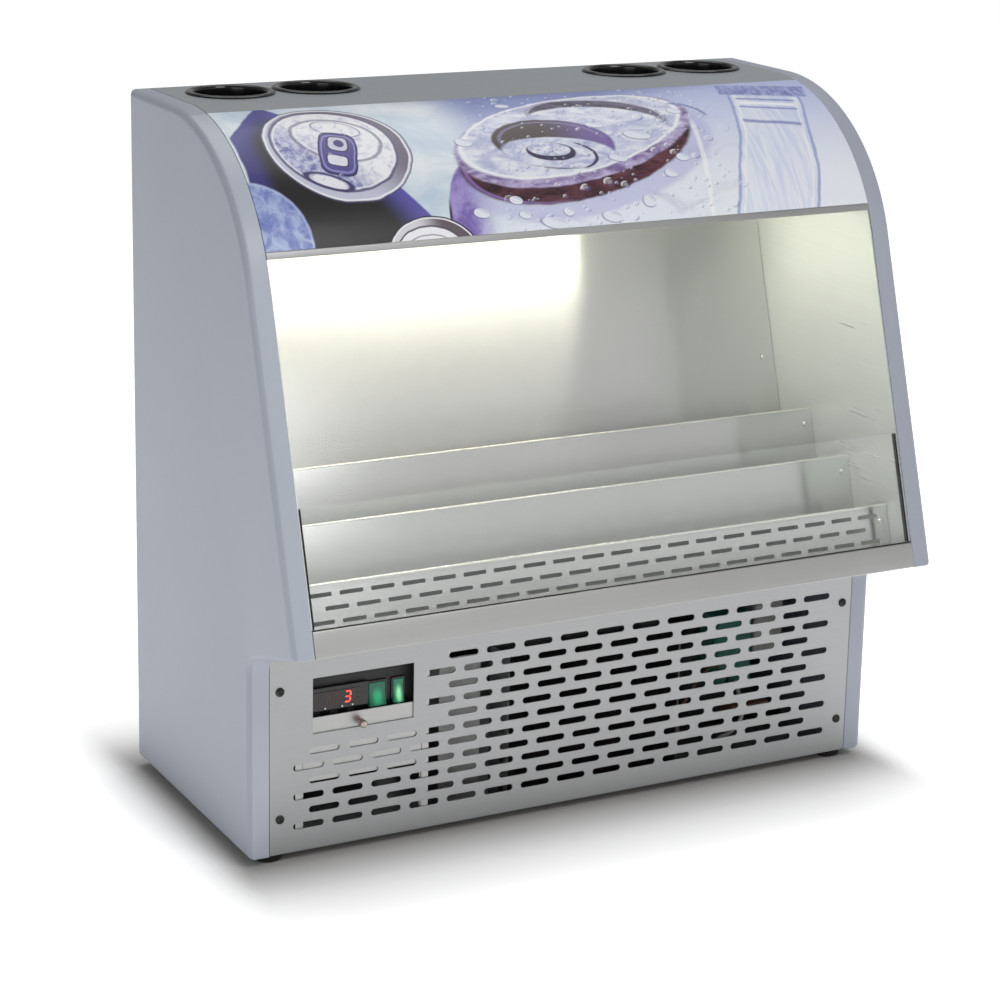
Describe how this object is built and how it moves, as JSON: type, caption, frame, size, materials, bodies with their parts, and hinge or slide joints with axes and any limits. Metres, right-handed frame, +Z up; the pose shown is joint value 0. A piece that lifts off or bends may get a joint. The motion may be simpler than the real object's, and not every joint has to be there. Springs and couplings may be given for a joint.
{
  "type": "open-front refrigerated merchandiser",
  "caption": "Countertop open-front refrigerated merchandiser with stepped display, printed canopy, cup holders on top, clear front guard and slotted base grille.",
  "frame": {"origin": "middle of the footprint's bounding box, on the surface the feet stand on", "axes": "+Z up, the open front faces -Y, +X to the right as seen from the front"},
  "size_m": [0.71, 0.406, 0.7155],
  "materials": {
    "painted_panel": "semi-gloss blue-grey paint",
    "painted_top": "satin grey paint",
    "stainless": "horizontally brushed stainless steel",
    "galvanised": "dull galvanised sheet",
    "printed_panel": "gloss printed sheet with a cold-drinks pattern",
    "white_plastic": "white",
    "black_plastic": "black",
    "dark_metal": "black paint",
    "rubber": "black",
    "foam_core": "foam with a thin skin",
    "clear_pane": "clear",
    "copper": "copper",
    "lit_green": "translucent green, lit",
    "teal_plastic": "teal",
    "chrome": "polished"
  },
  "bodies": {
    "cabinet": {"side_panel_left": "painted_panel", "side_panel_right": "painted_panel", "back_panel": "painted_panel", "top_panel": "painted_top", "cup_holder_1": "black_plastic", "cup_holder_2": "black_plastic", "cup_holder_3": "black_plastic", "cup_holder_4": "black_plastic", "canopy_panel": "printed_panel", "canopy_lip": "stainless", "ceiling_panel": "white_plastic", "lamp_tube": "white_plastic", "lamp_holder_left": "white_plastic", "lamp_holder_right": "white_plastic", "liner_left": "stainless", "liner_right": "stainless", "liner_back": "stainless", "display_floor": "stainless", "step_plate_rear": "stainless", "step_plate_middle": "stainless", "air_grille": "stainless", "sill_rail": "stainless", "front_guard": "clear_pane", "base_grille": "stainless", "grille_screw_1": "black_plastic", "grille_screw_2": "black_plastic", "grille_screw_3": "black_plastic", "grille_screw_4": "black_plastic", "shutter_rail_left": "stainless", "shutter_rail_right": "stainless", "control_housing": "black_plastic", "controller": "black_plastic", "base_pan": "galvanised", "foot_1": "rubber", "foot_2": "rubber", "foot_3": "rubber", "foot_4": "rubber", "foam_deck": "foam_core", "foam_back": "foam_core", "foam_left": "foam_core", "foam_right": "foam_core", "cord_gland": "black_plastic", "compressor": "dark_metal", "relay_cover": "teal_plastic", "condenser": "dark_metal", "condenser_fan_motor": "dark_metal", "evaporator": "galvanised", "evaporator_fan_motor": "dark_metal", "junction_box": "galvanised", "suction_pipe": "copper", "condensate_tray": "black_plastic"},
    "shutter": {"control_shutter": "stainless", "shutter_knob": "chrome"},
    "wide_rocker": {"rocker_wide": "lit_green"},
    "narrow_rocker": {"rocker_narrow": "lit_green"},
    "button_1": {"controller_button_1": "black_plastic"},
    "button_2": {"controller_button_2": "black_plastic"},
    "button_3": {"controller_button_3": "black_plastic"},
    "condenser_fan_wheel": {"condenser_fan": "galvanised"},
    "evaporator_fan_wheel": {"evaporator_fan": "galvanised"}
  },
  "joints": [
    {"name": "shutter_slide", "type": "slide", "parent": "cabinet", "child": "shutter", "axis": [0, 0, 1], "range_m": [0, 0.04]},
    {"name": "wide_rocker_tip", "type": "hinge", "parent": "cabinet", "child": "wide_rocker", "pos_m": [-0.215, -0.0805, 0.155], "axis": [1, 0, 0], "range_deg": [0, 16]},
    {"name": "narrow_rocker_tip", "type": "hinge", "parent": "cabinet", "child": "narrow_rocker", "pos_m": [-0.1923, -0.0805, 0.155], "axis": [1, 0, 0], "range_deg": [0, 16]},
    {"name": "button_1_press", "type": "slide", "parent": "cabinet", "child": "button_1", "axis": [0, 1, 0], "range_m": [0, 0.0012], "stiffness_N_per_m": 200},
    {"name": "button_2_press", "type": "slide", "parent": "cabinet", "child": "button_2", "axis": [0, 1, 0], "range_m": [0, 0.0012], "stiffness_N_per_m": 200},
    {"name": "button_3_press", "type": "slide", "parent": "cabinet", "child": "button_3", "axis": [0, 1, 0], "range_m": [0, 0.0012], "stiffness_N_per_m": 200},
    {"name": "condenser_fan_spin", "type": "hinge", "parent": "cabinet", "child": "condenser_fan_wheel", "pos_m": [0.03, -0.028, 0.095], "axis": [0, -1, 0], "continuous": true},
    {"name": "evaporator_fan_spin", "type": "hinge", "parent": "cabinet", "child": "evaporator_fan_wheel", "pos_m": [0, 0.112, 0.335], "axis": [0, 0, 1], "continuous": true}
  ]
}
